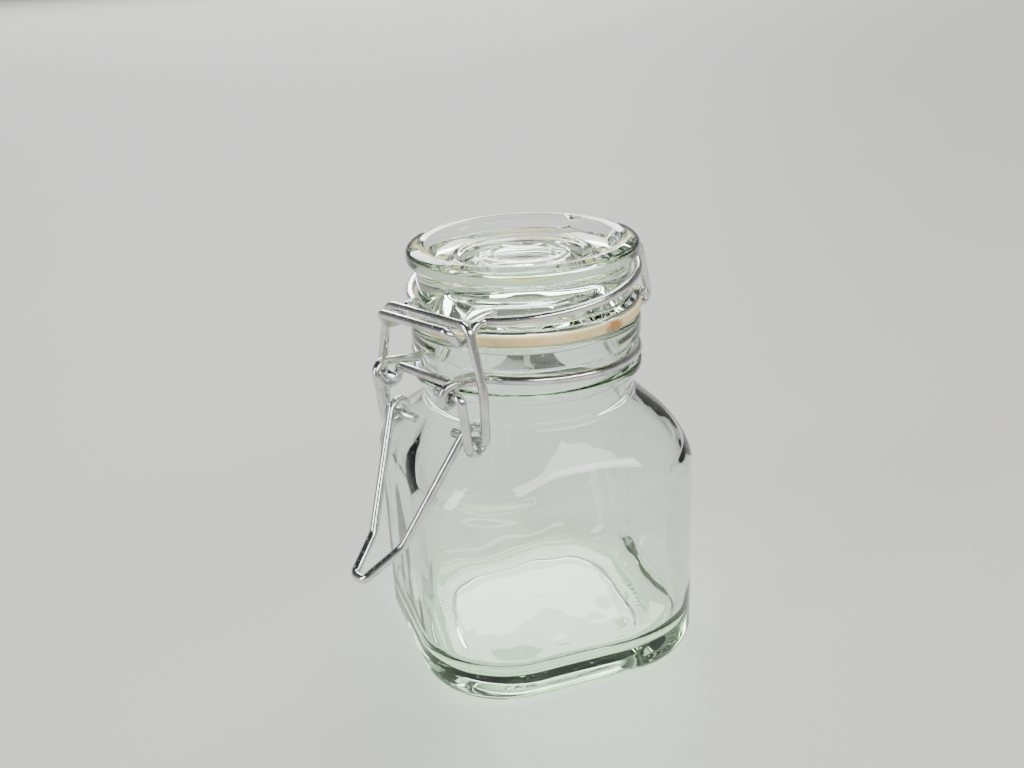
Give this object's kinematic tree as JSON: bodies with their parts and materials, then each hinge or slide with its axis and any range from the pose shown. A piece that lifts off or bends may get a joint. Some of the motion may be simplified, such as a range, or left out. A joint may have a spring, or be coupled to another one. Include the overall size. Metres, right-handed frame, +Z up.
{
  "type": "clip-top glass jar",
  "caption": "Small square glass canister with a glass lid, a rubber seal and an over-centre wire clip that holds the lid shut.",
  "frame": {"origin": "middle of the flat base the jar stands on", "axes": "+Z up along the jar's axis; +X and +Y square to the jar's flat sides; the clip's lever is towards -Y, turned 26.4 degrees towards +X"},
  "size_m": [0.0568, 0.0714, 0.0848],
  "materials": {
    "glass": "clear pressed glass, faintly green where it is thick",
    "rubber": "matt cream rubber",
    "wire": "bright plated round steel wire"
  },
  "bodies": {
    "jar": {"jar_body": "glass"},
    "neck_wire": {"neck_ring": "wire"},
    "lid_wire": {"lid_ring": "wire"},
    "lid_glass": {"lid": "glass", "gasket": "rubber"},
    "lever_wire": {"lever": "wire"},
    "link_wire": {"clamp_link": "wire"}
  },
  "joints": [
    {"name": "clip_turn", "type": "hinge", "parent": "jar", "child": "neck_wire", "pos_m": [0, 0, 0.0635], "axis": [0, 0, 1], "continuous": true},
    {"name": "lid_hinge", "type": "hinge", "parent": "neck_wire", "child": "lid_wire", "pos_m": [-0.01134, 0.02284, 0.0689], "axis": [-0.8957, -0.4446, 0], "range_deg": [0, 205]},
    {"name": "lid_turn", "type": "hinge", "parent": "lid_wire", "child": "lid_glass", "pos_m": [0, 0, 0.0774], "axis": [0, 0, 1], "continuous": true},
    {"name": "lever_swing", "type": "hinge", "parent": "neck_wire", "child": "lever_wire", "pos_m": [0.01272, -0.02562, 0.064], "axis": [-0.8957, -0.4446, 0], "range_deg": [0, 115]},
    {"name": "link_swing", "type": "hinge", "parent": "lever_wire", "child": "link_wire", "pos_m": [0.01125, -0.02266, 0.0547], "axis": [-0.8957, -0.4446, 0], "range_deg": [-70, 0]}
  ],
  "couplings": [
    {"joint": "link_swing", "follows": "lever_swing", "ratio": -0.6}
  ]
}
